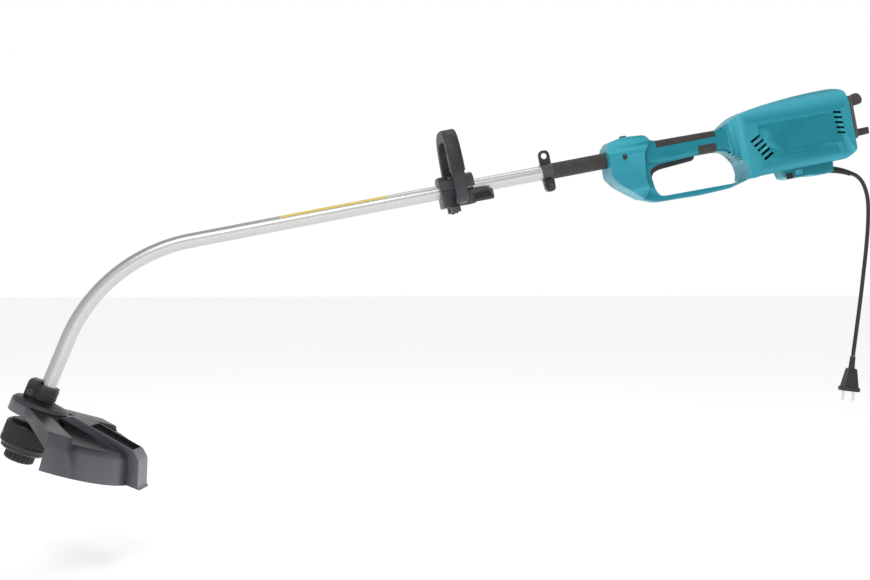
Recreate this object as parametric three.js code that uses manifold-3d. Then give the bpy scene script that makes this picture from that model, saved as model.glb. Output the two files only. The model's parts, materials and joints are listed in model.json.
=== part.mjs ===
// Electric string trimmer with a curved aluminium shaft.
// Row frame, millimetres: the origin is the centre of the shoulder-strap eye, +X points to the
// rear (the motor end), +Y to the right-hand side, +Z up, with the tool held as in use.
// Shaft frame: x along the straight tube towards the rear, z square to it and up, hanger at HANGER_X.
// Head frame: z up along the end of the bent tube, x towards the rear, z = 0 at the end of the bend.
import * as THREE from 'three';
import { mergeVertices } from 'three/addons/utils/BufferGeometryUtils.js';
import Module from 'manifold-3d';

const wasm = await Module();
wasm.setup();

// ---- driving dimensions ----
const GAP = 0.3; // clearance kept between pieces that touch
const SHAFT_TILT = 11.3; // degrees, the rear end is raised
const HANGER_X = -4;
const EYE_Z = 27.5; // strap eye above the tube axis
const TUBE_R = 12;
const TUBE_BORE_R = 10.5;
const BEND_X = -607; // where the straight tube ends
const BEND_R = 266;
const BEND_ANGLE = 56.6; // degrees
const BEND_STEPS = 12;
const TUBE_REAR_X = 150;
const TUBE_FOOT_Z = -102; // head frame
const LINER_R = 6.5;
const LINER_BORE_R = 4;
const FLEX_R = 3;

const HANDLE_X = -161.5;
const LOOP_TOP = 98;
const LOOP_BOTTOM = -26;
const LOOP_BAR = 16; // thickness of the loop in its own plane
const LOOP_DEPTH = 20;
const CLAMP_BOLT_X = -171.7;
const CLAMP_BOLT_Y = 19.5;
const LEVER_PIN = [-143, -17.5]; // x, z

const WALL = 2.6; // housing wall
const GRIP_SKIN = 2.2; // soft overlay on the handle
const FRAME_HALF = 15;
const GRIP_HALF = 19.5;
const COLLAR_HALF = 30;
const MOTOR_HALF = 44;
const TRIGGER_PIN = [247, -16]; // x, z
const BUTTON_X = 137;

const FLANGE_R = 45.7;
const FLANGE_FOOT = -114; // head frame
const CASE_FOOT = -136;
const DRUM_R = 39.5;
const DRUM_TOP = -143;
const DRUM_SEAM = -180;
const DRUM_FOOT = -190.5;
const KNOB_R = 24.3;
const KNOB_TOP = -185.3;
const KNOB_FOOT = -207.5;
const EYELET_Z = -167;
const GUARD_TURN = -7.6; // degrees round from straight back, towards the left-hand side
const GUARD_SIDE = 55.2; // degrees that the side edges open out
const GUARD_ROOF_R = 164;
const GUARD_BAND_R = 172.5; // where the skirt begins
const GUARD_SKIRT_R = 185;
const GUARD_BAND_Z = -135.5;
const GUARD_FOOT = -172.5;
const SHOULDER_FROM = 52; // degrees from the rib to the raised outer panels
const RIB_HALF = 31.4;
const GUARD_WALL = 3;
const GUARD_SCREWS = [[33, -17], [33, 17]]; // x, y

const CORD_R = 3.5;
const CORD_EXIT = [493, 0, -88.8]; // shaft frame
const CORD_DROP = 12; // degrees that the strain relief points below the shaft at its root
const RELIEF_LENGTH = 38;
const RELIEF_BEND = 18; // degrees that it bends down along its length
const PLUG_PITCH = 19;
const PLUG_TILT = 7; // degrees

// ---- materials ----
const paint = (color, roughness,
  metalness = 0) => new THREE.MeshStandardMaterial({ color, roughness, metalness });
const TEAL = paint(0x0090ac, 0.35);
const BLACK = paint(0x26272b, 0.5);
const DARK = paint(0x3c3a38, 0.7);
const SOFT = paint(0x4a4744, 0.85);
const ALUMINIUM = paint(0xd0d0cc, 0.35, 0.9);
const STEEL = paint(0xa8aab0, 0.35, 1);
const COPPER = paint(0xb5703a, 0.4, 0.9);
const NYLON = paint(0xe8e4d8, 0.6);
const CARBON = paint(0x2a2a2a, 0.8);
const ORANGE = paint(0xd06020, 0.5);

// ---- geometry helpers ----
const radians = THREE.MathUtils.degToRad;
const AXES = {
  x: [new THREE.Vector3(0, 1, 0), new THREE.Vector3(0, 0, 1), new THREE.Vector3(1, 0, 0)],
  y: [new THREE.Vector3(1, 0, 0), new THREE.Vector3(0, 0, 1), new THREE.Vector3(0, -1, 0)],
  z: [new THREE.Vector3(1, 0, 0), new THREE.Vector3(0, 1, 0), new THREE.Vector3(0, 0, 1)],
};

// Turns a three.js geometry into a solid that can be joined and cut.
function solid(geometry) {
  geometry.deleteAttribute('normal');
  geometry.deleteAttribute('uv');
  const merged = mergeVertices(geometry, 1e-4);
  return new wasm.Manifold(new wasm.Mesh({
    numProp: 3,
    vertProperties: new Float32Array(merged.attributes.position.array),
    triVerts: new Uint32Array(merged.index.array),
  }));
}

function join(...solids) {
  return solids.reduce((whole, next) => whole.add(next));
}

function cut(whole, ...tools) {
  return tools.reduce((rest, tool) => rest.subtract(tool), whole);
}

function mesh(name, body, material) {
  const data = body.getMesh();
  const geometry = new THREE.BufferGeometry();
  geometry.setAttribute('position', new THREE.BufferAttribute(data.vertProperties, 3));
  geometry.setIndex(new THREE.BufferAttribute(data.triVerts, 1));
  geometry.computeVertexNormals();
  const piece = new THREE.Mesh(geometry, material);
  piece.name = name;
  return piece;
}

function block(x0, x1, y0, y1, z0, z1) {
  const geometry = new THREE.BoxGeometry(x1 - x0, y1 - y0, z1 - z0);
  return solid(geometry.translate((x0 + x1) / 2, (y0 + y1) / 2, (z0 + z1) / 2));
}

// A cylinder along an axis, from one station to another, centred on (u, v) in the other two axes.
function rod(axis, radius, from, to, u = 0, v = 0, sides = 16) {
  const geometry = new THREE.CylinderGeometry(radius, radius, to - from, sides);
  const middle = (from + to) / 2;
  if (axis === 'x') geometry.rotateZ(-Math.PI / 2).translate(middle, u, v);
  if (axis === 'y') geometry.translate(u, middle, v);
  if (axis === 'z') geometry.rotateX(Math.PI / 2).translate(u, v, middle);
  return solid(geometry);
}

// A turned piece: profile points are [radius, station along the axis], listed either way round.
function turned(axis, profile, sides = 24) {
  const points = profile.map(([r, s]) => new THREE.Vector2(r, s));
  const upward = THREE.ShapeUtils.area(points) > 0 ? points : points.reverse();
  const closed = upward[0].x > 0 ? [...upward, upward[0]] : upward;
  const geometry = new THREE.LatheGeometry(closed, sides);
  if (axis === 'x') geometry.rotateZ(-Math.PI / 2);
  if (axis === 'z') geometry.rotateX(Math.PI / 2);
  return solid(geometry);
}

// A closed outline: each point is [u, v, rounding], the rounding taken off both sides of the corner,
// up to half of each side.
function outline(points, holes = []) {
  const shorten = (side, length) => side.setLength(Math.min(length, side.length() * 0.49));
  const trace = (path) => {
    points.forEach(([u, v, round = 0], i) => {
      const corner = new THREE.Vector2(u, v);
      const before = new THREE.Vector2(...points.at(i - 1).slice(0, 2));
      const after = new THREE.Vector2(...points[(i + 1) % points.length].slice(0, 2));
      const enter = shorten(before.sub(corner), round).add(corner);
      const leave = shorten(after.sub(corner), round).add(corner);
      if (i === 0) path.moveTo(enter.x, enter.y);
      else path.lineTo(enter.x, enter.y);
      if (round > 0) path.quadraticCurveTo(u, v, leave.x, leave.y);
    });
    path.closePath();
    return path;
  };
  const shape = trace(new THREE.Shape());
  shape.holes.push(...holes);
  return shape;
}

// The same outline drawn in by a distance, for points listed anticlockwise.
function inset(points, distance) {
  const flat = points.map(([u, v]) => new THREE.Vector2(u, v));
  return points.map(([, , round = 0], i) => {
    const corner = flat[i];
    const along = corner.clone().sub(flat.at(i - 1)).normalize();
    const onward = flat[(i + 1) % flat.length].clone().sub(corner).normalize();
    const inward = new THREE.Vector2(-along.y, along.x);
    const sharpness = (1 - along.dot(onward)) / (along.cross(onward) || 1e-9);
    const moved = corner.clone().addScaledVector(inward, distance).addScaledVector(along,
      -distance * sharpness);
    return [moved.x, moved.y, round > 0 ? Math.max(round - distance / 2, 1) : 0];
  });
}

// Extrudes an outline along an axis, its end faces drawn in by a rounded edge.
function slab(axis, shape, from, to, edge = 0, curveSegments = 2) {
  const geometry = new THREE.ExtrudeGeometry(shape, {
    depth: to - from - 2 * edge,
    curveSegments,
    bevelEnabled: edge > 0,
    bevelThickness: edge,
    bevelSize: edge,
    bevelOffset: -edge,
    bevelSegments: edge > 2 ? 2 : 1,
  });
  const [u, v, w] = AXES[axis];
  const start = axis === 'y' ? -to : from;
  geometry.translate(0, 0, start + edge);
  return solid(geometry.applyMatrix4(new THREE.Matrix4().makeBasis(u, v, w)));
}

function circle(radius, u = 0, v = 0) {
  const path = new THREE.Path();
  path.absarc(u, v, radius, 0, Math.PI * 2, false);
  return path;
}

function disc(radius, u = 0, v = 0, holes = []) {
  const shape = new THREE.Shape();
  shape.absarc(u, v, radius, 0, Math.PI * 2, false);
  shape.holes.push(...holes);
  return shape;
}

// A helical spring round the z axis, from one height to another.
function spring(radius, wire, from, to, turns, u = 0, v = 0) {
  const stepsPerTurn = 8;
  class Helix extends THREE.Curve {
    getPoint(t, target = new THREE.Vector3()) {
      const angle = t * turns * Math.PI * 2;
      const z = THREE.MathUtils.lerp(from + wire, to - wire, t);
      return target.set(u + radius * Math.cos(angle), v + radius * Math.sin(angle), z);
    }
  }
  const options = { steps: turns * stepsPerTurn, extrudePath: new Helix(), curveSegments: 2 };
  return solid(new THREE.ExtrudeGeometry(disc(wire), options));
}

// ---- shaft: tube, liner and flexible drive ----
// The tube's centre line: straight, one bend, straight, each arc step placed on its own point.
class ShaftLine extends THREE.Curve {
  constructor(rearX, footZ) {
    super();
    this.rearX = rearX;
    this.footZ = footZ;
  }

  getUtoTmapping(u) {
    return u;
  }

  getPoint(t, target = new THREE.Vector3()) {
    const stage = t * (BEND_STEPS + 2);
    if (stage <= 1) return target.set(THREE.MathUtils.lerp(this.rearX, BEND_X, stage), 0, 0);
    const turn = radians(BEND_ANGLE) * Math.min((stage - 1) / BEND_STEPS, 1);
    target.set(BEND_X - BEND_R * Math.sin(turn), 0, -BEND_R * (1 - Math.cos(turn)));
    const beyond = Math.max(stage - BEND_STEPS - 1, 0) * -this.footZ;
    target.x -= beyond * Math.cos(turn);
    target.z -= beyond * Math.sin(turn);
    return target;
  }
}

function bentBar(section, rearX, footZ, curveSegments) {
  const options = { steps: BEND_STEPS + 2, extrudePath: new ShaftLine(rearX, footZ), curveSegments };
  return solid(new THREE.ExtrudeGeometry(section, options));
}

function shaftTube() {
  const section = disc(TUBE_R, 0, 0, [circle(TUBE_BORE_R)]);
  return mesh('shaft_tube', bentBar(section, TUBE_REAR_X, TUBE_FOOT_Z, 8), ALUMINIUM);
}

function driveLiner() {
  const pipe = bentBar(disc(LINER_R, 0, 0, [circle(LINER_BORE_R)]), 300, TUBE_FOOT_Z + 4, 3);
  const spacer = (x) => turned('x', [
    [LINER_R - 1, x - 8],
    [TUBE_BORE_R - GAP, x - 6],
    [TUBE_BORE_R - GAP, x + 6],
    [LINER_R - 1, x + 8],
  ], 12);
  return mesh('drive_liner', join(pipe, spacer(120), spacer(-240), spacer(-590)), NYLON);
}

function flexibleShaft() {
  return mesh('flexible_shaft', bentBar(disc(FLEX_R), 334, TUBE_FOOT_Z - 13, 3), STEEL);
}

function shaftSleeve() {
  const ring = disc(13.4, 0, 0, [circle(TUBE_R + GAP)]);
  return mesh('shaft_sleeve', slab('x', ring, HANGER_X + 9.9, 118, 0, 8), SOFT);
}

// ---- strap hanger ----
function strapHanger() {
  const group = new THREE.Group();
  const bore = TUBE_R + GAP;
  const band = slab('x', disc(15.6), -9.5, 9.5, 0.8, 5);
  const ear = [[-9.5, 8], [9.5, 8], [9.6, EYE_Z + 9.7, 10], [-9.6, EYE_Z + 9.7, 10]];
  const lug = slab('y', outline(ear, [circle(5.3, 0, EYE_Z)]), -3.2, 3.2, 0.8, 6);
  const foot = [[-7.5, -33.5, 8], [9.4, -33.5, 8], [9.4, -8], [-9.2, -8]];
  const ears = slab('y', outline(foot, [circle(2.7, 1, -24.8)]), -6.5, 6.5, 0.8, 5);
  const slit = block(-12, 12, -1.2, 1.2, -36, -5);
  const hole = rod('x', bore, -12, 12, 0, 0, 24);
  group.add(mesh('strap_hanger', cut(join(band, lug, ears), hole, slit), BLACK));
  group.add(mesh('hanger_screw', join(
    rod('y', 4.6, -10, -6.8, 1, -24.8),
    rod('y', 2.4, -7, 8, 1, -24.8, 12),
  ), STEEL));
  group.position.x = HANGER_X;
  return group;
}

// ---- loop handle ----
// The loop handle's ring, square to the tube, grown by a margin.
function loopRing(margin, depth, edge) {
  const top = LOOP_TOP + margin;
  const bottom = LOOP_BOTTOM - margin;
  const ring = [
    [-52 - margin, bottom, 20], [52 + margin, bottom, 20], [60 + margin, 22, 20], [54 + margin, 72, 24],
      [37, top, 30],
    [-37, top, 30], [-54 - margin, 72, 24], [-60 - margin, 22, 20],
  ];
  const inner = LOOP_BAR + margin;
  const hole = [
    [-52 + inner, bottom + inner + margin, 10], [52 - inner, bottom + inner + margin, 10],
      [60 - inner, 22, 12], [54 - inner, 67, 12],
    [28, top - inner - margin, 14], [-28, top - inner - margin, 14], [inner - 54, 67, 12],
      [inner - 60, 22, 12],
  ];
  const shape = outline(ring, [outline(hole)]);
  return slab('x', shape, HANDLE_X - depth / 2, HANDLE_X + depth / 2, edge, 3);
}


function loopHandle() {
  const group = new THREE.Group();
  const bore = rod('x', TUBE_R + GAP, -210, -110, 0, 0, 24);
  const jawFoot = -28;
  const jaw = slab('z', outline([[-191, -25, 4], [-134, -25, 4], [-134, 25, 4], [-191, 25, 4]]), jawFoot,
    -0.6, 1.5);
  const holes = [-1, 1].map((side) => rod('z', 3.3, -50, 40, CLAMP_BOLT_X, side * CLAMP_BOLT_Y, 12));
  const leverRoom = block(-155, -120, -30, -12.7, -40, -0.3);
  const pinHole = rod('y', 2.3, -30, 30, ...LEVER_PIN, 12);
  const ring = cut(loopRing(0, LOOP_DEPTH, 2), block(-230, -100, -40, 40, -0.6, 40));
  group.add(mesh('loop_handle', cut(join(ring, jaw), bore, ...holes, leverRoom, pinHole), BLACK));

  const gripZone = block(-260, -120, -100, 100, 26.5, 130);
  const grip = loopRing(2, LOOP_DEPTH + 3.4, 3).intersect(gripZone);
  group.add(mesh('loop_grip', cut(grip, loopRing(GAP, LOOP_DEPTH + 2 * GAP, 2)), SOFT));

  const capTop = 24;
  const capEnd = [[-24, 0.6], [24, 0.6], [24, 15, 4], [15, capTop, 4], [-15, capTop, 4], [-24, 15, 4]];
  const seats = [-1, 1].map((side) => rod('z', 5.9, 17.6, 40, CLAMP_BOLT_X, side * CLAMP_BOLT_Y, 12));
  const cap = cut(slab('x', outline(capEnd), -192, -133, 1.5, 3), bore, ...holes, ...seats);
  group.add(mesh('clamp_cap', cap, BLACK));

  for (const [side, hand] of [['left', -1], ['right', 1]]) {
    const y = hand * CLAMP_BOLT_Y;
    const bolt = join(rod('z', 5.3, 17.9, 21.4, CLAMP_BOLT_X, y, 12),
      rod('z', 2.9, -39.5, 18, CLAMP_BOLT_X, y, 12));
    group.add(mesh(`clamp_bolt_${side}`, bolt, STEEL));
    const nut = cut(rod('z', 9, -37.5, -28.4, CLAMP_BOLT_X, y, 6),
      rod('z', 3.3, -40, -20, CLAMP_BOLT_X, y, 12));
    group.add(mesh(`clamp_nut_${side}`, nut, BLACK));
  }

  const arm = [
    [-149.4, -26.5, 4], [-106, -27, 2], [-104.6, -24, 2], [-105, -10.5, 2], [-111, -7, 3], [-130, -5.5, 3],
      [-145, -6, 5], [-149.4, -12, 4],
  ];
  const channel = slab('y', outline([[-137, -21.5, 2], [-110, -21, 2], [-110, -14.5, 2], [-137, -14.5, 2]]),
    -30, -22.5);
  const lever = cut(slab('y', outline(arm), -24.5, -13), channel, pinHole);
  group.add(mesh('clamp_lever', lever, BLACK));
  group.add(mesh('lever_pin', rod('y', 2, -24, 24, ...LEVER_PIN, 12), STEEL));
  return group;
}

// ---- head: bearing case, guard, spool drum and tap knob (head frame) ----

function bearingCase() {
  const group = new THREE.Group();
  const tubeFoot = TUBE_FOOT_Z - 2;
  const profile = [
    [12.3, -78.5], [12.3, tubeFoot], [9, tubeFoot], [9, -106], [11.3, -106], [11.3, -114], [9, -114],
      [9, -128],
    [11.3, -128], [11.3, CASE_FOOT], [24, CASE_FOOT], [25, FLANGE_FOOT], [FLANGE_R, FLANGE_FOOT],
      [FLANGE_R, -112],
    [41.6, -107.5], [26, -104.5], [19, -101], [19, -78.5],
  ];
  const boltAt = [-21.4, -95.6];
  const boss = slab('y',
    outline([[-30, -105, 2], [-10, -105], [-10, -74], [-27.5, -74.5, 3], [-30, -80, 2]]), -13, 13, 1.5);
  const bore = rod('z', 12.3, tubeFoot, -60, 0, 0, 24);
  const slit = block(-40, -8, -1.2, 1.2, tubeFoot, -60);
  const hole = rod('y', 3, -20, 20, ...boltAt, 12);
  const seat = rod('y', 5.6, -20, -10, ...boltAt, 16);
  const pillars = GUARD_SCREWS.map(([x, y]) => rod('z', 2.6, -125, -108, x, y, 12));
  group.add(mesh('bearing_case',
    cut(join(turned('z', profile, 24), boss), bore, slit, hole, seat, ...pillars), BLACK));
  const bolt = join(rod('y', 5, -13.4, -10.3, ...boltAt), rod('y', 2.6, -10.4, 12.4, ...boltAt, 12));
  group.add(mesh('case_bolt', bolt, STEEL));
  return group;
}

// A ball bearing drawn as one ring, bore fitting the spindle.
function bearing(name, axis, bore, outer, from, to) {
  const profile = [[bore, from], [outer, from], [outer, to], [bore, to]];
  return mesh(name, turned(axis, profile, 20), STEEL);
}

// The fan-shaped guard in its own turned frame, x along its rib: a hub ring under the bearing case,
// a sunken roof with a raised panel at each side, a skirt, walls down its side edges and a box rib.
function guard() {
  const group = new THREE.Group();
  const t = GUARD_WALL;
  const top = FLANGE_FOOT - GAP;
  const hubFoot = -131.6;
  const hub = turned('z', [
    [25.4, top], [FLANGE_R, top], [FLANGE_R, hubFoot], [FLANGE_R - t, hubFoot], [FLANGE_R - t, top - t],
    [25.4 + t, top - t], [25.4 + t, CASE_FOOT], [25.4, CASE_FOOT],
  ], 30);

  const roof = (points) => turned('z', [
    ...points, [GUARD_BAND_R, GUARD_BAND_Z], [GUARD_SKIRT_R, GUARD_FOOT], [GUARD_SKIRT_R - t, GUARD_FOOT],
    [GUARD_BAND_R - t, GUARD_BAND_Z - t], ...points.map(([r, z]) => [r - t / 2, z - t]).reverse(),
  ], 42);
  const sunken = [[40, top], [52, top - 0.7], [60, -123.3], [GUARD_ROOF_R, -126]];
  const raised = [[40, top], [60, top - 0.7], [GUARD_ROOF_R - 4, -118]];
  const reach = 260; // well past the skirt
  const farReach = reach * 1.2;
  const hubEdge = 45.8; // half width of the fan where it leaves the hub
  const edgeStart = -3;
  const wedge = (from, to) => slab('z', outline([
    [0, 0], [reach * Math.cos(from), reach * Math.sin(from)],
    [farReach * Math.cos((from + to) / 2), farReach * Math.sin((from + to) / 2)],
    [reach * Math.cos(to), reach * Math.sin(to)],
  ]), -200, -90);
  const shoulder = radians(SHOULDER_FROM);
  const side = radians(GUARD_SIDE);
  const sideEdge = (hand, drawnIn) => [
    [edgeStart + drawnIn, hand * hubEdge],
    [edgeStart + drawnIn + reach * Math.cos(side), hand * (hubEdge + reach * Math.sin(side))],
  ];
  const [[ax, ay], [bx, by]] = sideEdge(1, 0);
  const fan = slab('z', outline([[ax, -ay], [bx, -by], [reach, -by], [reach, by], [bx, by], [ax, ay]]),
    -200, -90);
  const filled = turned('z', [
    [30, top - 1], [60, top - 1.7], [GUARD_ROOF_R - 5, -119], [GUARD_BAND_R - 1, GUARD_BAND_Z],
      [GUARD_BAND_R, -142], [30, -129],
  ], 42);
  const sideWalls = [-1, 1].map((hand) => {
    const [outer, outerEnd] = sideEdge(hand, 0);
    const [inner, innerEnd] = sideEdge(hand, t * 1.2);
    const strip = [outer, outerEnd, innerEnd, inner];
    return slab('z', outline(hand > 0 ? strip.reverse() : strip), -200, -90).intersect(filled);
  });
  const riserFill = turned('z',
    [[50, top - 0.5], [60, top - 1], [GUARD_ROOF_R - 5, -118.5], [GUARD_BAND_R - 1, GUARD_BAND_Z],
      [GUARD_ROOF_R, -128.6], [60, -126], [50, -119]], 42);
  const risers = [-1, 1].map((hand) => {
    const [from, to] = hand > 0 ? [shoulder - 0.005, shoulder + 0.02] : [-shoulder - 0.02, -shoulder + 0.005];
    return riserFill.intersect(wedge(from, to));
  });
  const panels = [[shoulder, 1.6],
    [-1.6, -shoulder]].map(([from, to]) => roof(raised).intersect(wedge(from, to)));
  const floor = roof(sunken).intersect(wedge(-shoulder - 0.001, shoulder + 0.001));
  const shell = join(floor, ...panels, ...risers).intersect(fan);

  const ridge = [62, -104];
  const rib = [
    [44, -190], [206, -190], [206, -174], [199.6, -169], [185.1, -129.7, 3], [171.7, -118.4, 3],
      [...ridge, 2], [48.7, -112.6], [44, top + 0.2],
  ];
  const roomTop = [
    [40, -190], [192, -190], [196, -169], [182, -131], [170, -128.5], [66, -114.8], [56, -119], [40, -121],
  ];
  const ribShell = cut(slab('y', outline(rib), -RIB_HALF, RIB_HALF),
    block(40, 230, -60, 60, -220, GUARD_FOOT));
  const ribRoom = slab('y', outline(roomTop), t - RIB_HALF, RIB_HALF - t);
  const below = slab('y',
    outline([[30, -200], [182, -200], [169.5, -138.5], [161, -128.8], [61, -126.2], [52, -118],
      [30, -117]]), -60, 60);
  const channel = slab('y', outline([[92, -115.1], [166, -124.8], [172, -112], [92, -100]]), 4 - RIB_HALF,
    RIB_HALF - 4);
  const box = cut(ribShell, ribRoom, below, channel);
  const skirtGap = slab('y',
    outline([[100, GUARD_FOOT + 3], [194, GUARD_FOOT + 3], [176, -131], [100, -124]]), t - RIB_HALF,
      RIB_HALF - t);
  const caseRoom = join(rod('z', FLANGE_R + 2 * GAP, top, -90, 0, 0, 32),
    rod('z', 25.6, -150, -90, 0, 0, 32));
  const turn = radians(GUARD_TURN);
  const screwHoles = GUARD_SCREWS.map(([x, y]) => {
    const site = new THREE.Vector2(x, y).rotateAround(new THREE.Vector2(), -turn);
    return rod('z', 2.6, -130, -110, site.x, site.y, 12);
  });
  const body = cut(join(cut(shell, rod('z', FLANGE_R - 1, -150, -90, 0, 0, 24)), hub, ...sideWalls, box),
    caseRoom, skirtGap);
  const whole = mesh('guard', cut(body, ...screwHoles), BLACK);
  whole.rotation.z = turn;
  group.add(whole);
  GUARD_SCREWS.forEach(([x, y], i) => {
    const screw = join(rod('z', 4.2, -120.4, -117.7, x, y, 12), rod('z', 2.2, -118, -108.4, x, y, 12));
    group.add(mesh(`guard_screw_${i === 0 ? 'left' : 'right'}`, screw, STEEL));
  });
  return group;
}

// A steel blade inside the skirt that trims the line to length.
function lineCutter() {
  const blade = [[-22, -168], [18, -168], [22, -160], [22, -148], [-22, -148]];
  const piece = mesh('line_cutter', slab('x', outline(blade, [circle(2.4, 0, -154)]), 169.4, 171, 0, 4),
    STEEL);
  piece.rotation.z = radians(GUARD_TURN + 51);
  return piece;
}

function spool() {
  const group = new THREE.Group();
  const shaftR = 5;
  const wall = 2.5;
  const spindle = [
    [0, -196], [shaftR - 0.6, -196], [shaftR, -194], [shaftR, -107], [FLEX_R + GAP, -107],
      [FLEX_R + GAP, -116], [0, -116],
  ];
  const driver = [[shaftR - 1, -142.6], [11, -142.6], [11, -139], [shaftR - 1, -139]];
  const nut = [[shaftR - 1, -152.4], [9, -152.4], [9, -146.3], [shaftR - 1, -146.3]];
  const shafting = join(turned('z', spindle, 20), turned('z', driver, 20), turned('z', nut, 12));
  group.add(mesh('spindle', shafting, STEEL));
  group.add(bearing('spindle_bearing_upper', 'z', shaftR + GAP, 11, -113.7, -106.3));
  group.add(bearing('spindle_bearing_lower', 'z', shaftR + GAP, 11, -135.9, -128.3));

  const drum = [
    [shaftR + GAP, DRUM_TOP], [shaftR + GAP, DRUM_TOP - 3], [30, DRUM_TOP - 3], [DRUM_R - wall, DRUM_TOP - 8],
    [DRUM_R - wall, DRUM_SEAM], [DRUM_R, DRUM_SEAM], [DRUM_R, DRUM_TOP - 5.5], [32, DRUM_TOP],
  ];
  const eyeletTurn = 22; // degrees round from the rib, clear of the guard's hub
  const hole = rod('x', 4.3, -60, 60, 0, EYELET_Z, 12);
  const drumCase = mesh('drum_case', cut(turned('z', drum, 30), hole), BLACK);
  drumCase.rotation.z = radians(eyeletTurn);
  group.add(drumCase);
  const coverR = 35;
  const cover = [
    [DRUM_R - 0.8, DRUM_SEAM - GAP], [DRUM_R - 3.3, DRUM_SEAM - GAP], [coverR - wall, -184],
      [coverR - wall, -186.5],
    [30, -188.5], [KNOB_R + 1.2, -188.5], [KNOB_R + 1.2, DRUM_FOOT], [31, DRUM_FOOT], [coverR, -188],
      [coverR, -183.5],
  ];
  group.add(mesh('drum_cover', turned('z', cover, 30), BLACK));
  for (const [side, hand] of [['left', -1], ['right', 1]]) {
    const from = DRUM_R - 4.5;
    const profile = [[2, from], [4, from], [4, DRUM_R - 0.2], [2, DRUM_R - 0.2]];
    const geometry = turned('x', profile, 12);
    const eyelet = mesh(`line_eyelet_${side}`, geometry, STEEL);
    eyelet.position.z = EYELET_Z;
    eyelet.rotation.z = hand > 0 ? Math.PI : 0;
    const holder = new THREE.Group();
    holder.rotation.z = radians(eyeletTurn);
    holder.add(eyelet);
    group.add(holder);
  }

  const reel = [
    [9.6, -185], [30, -185], [30, -182.5], [14, -182.5], [14, -158.5], [34, -158.5], [34, -156], [9.6, -156],
  ];
  group.add(mesh('line_spool', turned('z', reel, 20), ORANGE));
  const winding = [[14.4, -182], [28, -182], [30.5, -170], [30, -159], [14.4, -159]];
  group.add(mesh('nylon_line', turned('z', winding, 18), NYLON));
  group.add(mesh('tap_spring', spring(7.4, 0.9, -184.5, -153, 5), STEEL));

  const flutes = 10;
  const knob = turned('z', [
    [0, KNOB_FOOT], [14, KNOB_FOOT], [KNOB_R - 4.5, KNOB_FOOT + 1.6], [KNOB_R - 1.2, KNOB_FOOT + 5],
      [KNOB_R, KNOB_TOP - 3.5],
    [KNOB_R - 1, KNOB_TOP], [0, KNOB_TOP],
  ], 30);
  const grooves = Array.from({ length: flutes }, (_, i) => {
    const angle = (i * 2 * Math.PI) / flutes;
    const reach = KNOB_R + 2.2;
    return rod('z', 4, KNOB_FOOT - 2, KNOB_TOP - 7.2, reach * Math.cos(angle), reach * Math.sin(angle), 10);
  });
  const stemRoom = rod('z', shaftR + 0.4, -202, -176, 0, 0, 16);
  group.add(mesh('tap_knob', cut(knob, ...grooves, stemRoom), BLACK));
  return group;
}

// ---- rear housing ----
const HAND_OPENING = [
  [178, -77.5, 8], [335, -80, 16], [334, -50, 9], [306, -20.8, 15], [250, -20.6, 3], [181, -23.6, 8],
  [168.5, -31, 4], [171.5, -62, 8],
];
const FRAME_OUTLINE = [
  [171, -86, 7], [252, -88.6], [304, -87, 8], [337, -78.5, 6], [360, -74], [360, 28], [330, 27, 8],
    [306, 18, 6], [296, 15.6],
  [190, 17.2, 4], [179, 20.5], [169, 29.8, 5], [131, 33.4, 6], [107, 28.4, 3], [99.3, 18.6, 3],
    [98.5, -29.7, 3],
  [109.7, -45.6, 3], [148.3, -77.2, 6],
];
const GRIP_OUTLINE = [
  [160, -19], [181, -23.4], [250, -20.4], [304, -20.6], [345, -52], [360, -50], [360, 20], [323, 17.5, 8],
  [300, 15.4], [190, 17.2], [160, 21],
];
const COLLAR_OUTLINE = [
  [98.5, -29.7, 3], [109.7, -45.6, 3], [148.3, -77.2, 3], [160, -61, 4], [156, -46, 6], [162, 2, 8],
  [176, 19.5, 4], [169, 29.8, 5], [131, 33.4, 6], [107, 28.4, 3], [99.3, 18.6, 3],
];
const COLLAR_FRONT = [[-17, -90], [17, -90], [30, -56, 6], [30, 5, 5], [17, 36, 6], [-17, 36, 6],
  [-30, 5, 5], [-30, -56, 6]];
const MOTOR_OUTLINE = [
  [318, -72, 6], [337, -78.5, 6], [356, -76, 4], [508, -75.5, 4], [530, -64, 5], [530, 41.5, 5],
    [517, 47.6, 4],
  [504, 49, 4], [474, 48.7, 6], [441, 47.2, 6], [407, 44.4, 6], [374, 41, 6], [347, 37, 8], [326, 28.6, 6],
    [306, 18],
];
const MOTOR_FRONT = [
  [-34, -80, 5], [34, -80, 5], [43.5, -64, 5], [44, 8, 10], [31, 38, 12], [13, 51, 12], [-13, 51, 12],
    [-31, 38, 12],
  [-44, 8, 10], [-43.5, -64, 5],
];
const MOTOR_TOP = [
  [300, -14], [322, -24, 8], [342, -40, 8], [366, -MOTOR_HALF, 8], [500, -43, 8], [532, -38.5],
  [532, 38.5], [500, 43, 8], [366, MOTOR_HALF, 8], [342, 40, 8], [322, 24, 8], [300, 14],
];
const CORD_BLOCK = [
  [396, -70], [401, -88, 3], [412, -91.4, 3], [446, -91.4, 3], [454, -93.5, 3], [480, -94.5, 4],
    [490.5, -92.5, 3], [492.5, -70],
];
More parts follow.
